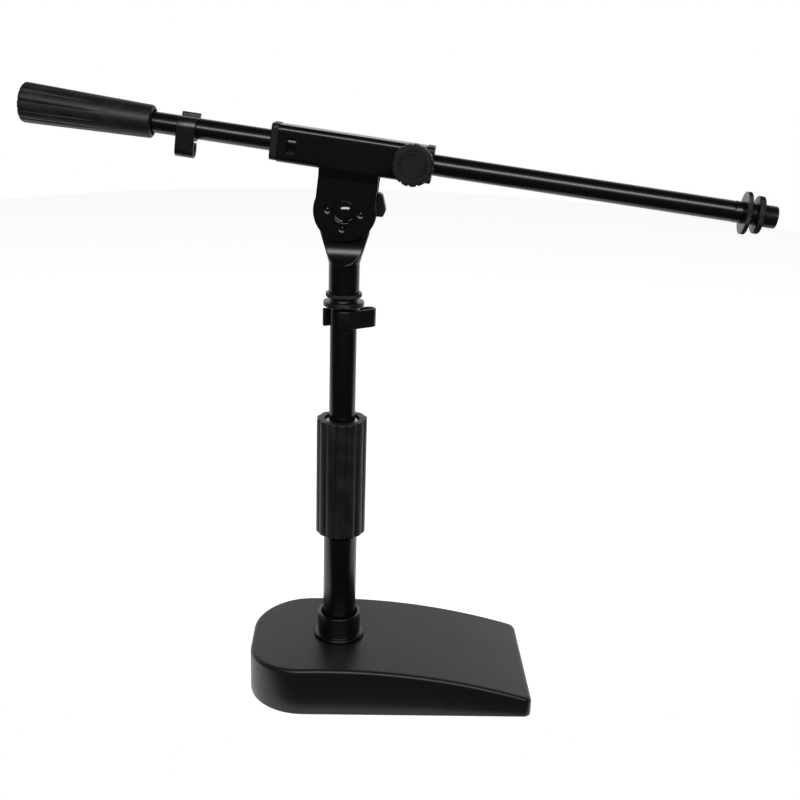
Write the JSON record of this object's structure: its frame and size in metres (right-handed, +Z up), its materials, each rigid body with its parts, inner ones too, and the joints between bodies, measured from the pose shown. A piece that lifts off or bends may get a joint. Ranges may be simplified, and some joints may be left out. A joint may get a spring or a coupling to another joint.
{
  "type": "boom microphone stand",
  "caption": "Low desk and floor microphone stand: weighted arched base, twist-lock telescoping mast and a clamped tilting boom with a threaded tip.",
  "frame": {"origin": "on the mast axis, at the underside of the base pad", "axes": "+Z up along the mast, +X along the base towards its straight end and the boom's threaded end, -Y towards the lock knob"},
  "size_m": [0.5364, 0.119, 0.4649],
  "materials": {
    "casting": "fine textured black powder coat",
    "pad": "matt",
    "zinc": "zinc plated",
    "black_metal": "satin black enamel",
    "black_steel": "semi-bright black plating",
    "gloss_black": "gloss black",
    "grip_rubber": "soft matt rubber",
    "plastic": "fine matt moulded",
    "clip_plastic": "semi-gloss moulded",
    "nylon": "natural nylon",
    "brass": "turned"
  },
  "bodies": {
    "stand": {"base_casting": "casting", "base_pad": "pad", "mast_bolt": "zinc", "bolt_washer": "zinc", "mast_socket": "black_metal", "lower_tube": "black_metal", "tube_plug": "zinc", "guide_bush": "nylon", "clutch_collar": "black_metal", "clutch_collet": "nylon"},
    "clutch": {"clutch_core": "plastic", "clutch_grip": "grip_rubber"},
    "upper_mast": {"upper_tube": "black_metal", "tube_glide": "nylon", "mast_flange": "black_steel", "mast_stud": "black_steel"},
    "mast_cable_clip": {"mast_clip": "clip_plastic"},
    "head_lock_nut": {"head_nut": "black_steel"},
    "head": {"head_stem": "black_metal", "stem_insert": "zinc", "friction_discs": "black_metal"},
    "clamp": {"clamp_bracket": "black_metal", "cap_left": "plastic", "cap_right": "plastic", "pivot_bolt": "gloss_black", "lever_washer": "zinc", "knob_boss": "black_metal", "clamp_shoe": "brass"},
    "lever": {"tilt_lever": "plastic", "lever_insert": "zinc"},
    "knob": {"lock_knob": "plastic", "knob_badge": "plastic", "knob_screw": "zinc"},
    "boom": {"boom_tube": "black_metal", "boom_weight": "zinc", "boom_grip": "grip_rubber", "boom_ferrule": "black_steel", "tip_flange": "black_steel", "tip_stud": "black_steel"},
    "tip_lock_nut": {"tip_nut": "black_steel"},
    "boom_cable_clip": {"boom_clip": "clip_plastic"}
  },
  "joints": [
    {"name": "clutch_twist", "type": "hinge", "parent": "stand", "child": "clutch", "pos_m": [0, 0, 0.18], "axis": [0, 0, 1], "range_deg": [0, 120]},
    {"name": "mast_slide", "type": "slide", "parent": "stand", "child": "upper_mast", "axis": [0, 0, 1], "range_m": [-0.068, 0.055]},
    {"name": "mast_clip_turn", "type": "hinge", "parent": "upper_mast", "child": "mast_cable_clip", "pos_m": [0, 0, 0.304], "axis": [0, 0, 1], "continuous": true},
    {"name": "head_nut_turn", "type": "hinge", "parent": "upper_mast", "child": "head_lock_nut", "pos_m": [0, 0, 0.3217], "axis": [0, 0, 1], "range_deg": [-180, 0]},
    {"name": "head_swivel", "type": "hinge", "parent": "upper_mast", "child": "head", "pos_m": [0, 0, 0.333], "axis": [0, 0, 1], "range_deg": [-180, 180]},
    {"name": "boom_tilt", "type": "hinge", "parent": "head", "child": "clamp", "pos_m": [0, 0, 0.383], "axis": [0.1045, 0.9945, 0], "range_deg": [-55, 60]},
    {"name": "lever_turn", "type": "hinge", "parent": "clamp", "child": "lever", "pos_m": [0, 0, 0.383], "axis": [0.1045, 0.9945, 0], "range_deg": [-60, 40]},
    {"name": "knob_turn", "type": "hinge", "parent": "clamp", "child": "knob", "pos_m": [0.04681, -0.02302, 0.41937], "axis": [-0.1045, -0.9945, 0], "range_deg": [0, 270]},
    {"name": "boom_slide", "type": "slide", "parent": "clamp", "child": "boom", "axis": [0.9883, -0.1039, -0.1115], "range_m": [-0.12, 0.03]},
    {"name": "tip_nut_turn", "type": "hinge", "parent": "boom", "child": "tip_lock_nut", "pos_m": [0.28925, -0.0304, 0.39224], "axis": [0.9883, -0.1039, -0.1115], "range_deg": [-180, 180]},
    {"name": "boom_clip_slide", "type": "slide", "parent": "boom", "child": "boom_cable_clip", "axis": [0.9883, -0.1039, -0.1115], "range_m": [-0.012, 0.02]}
  ]
}
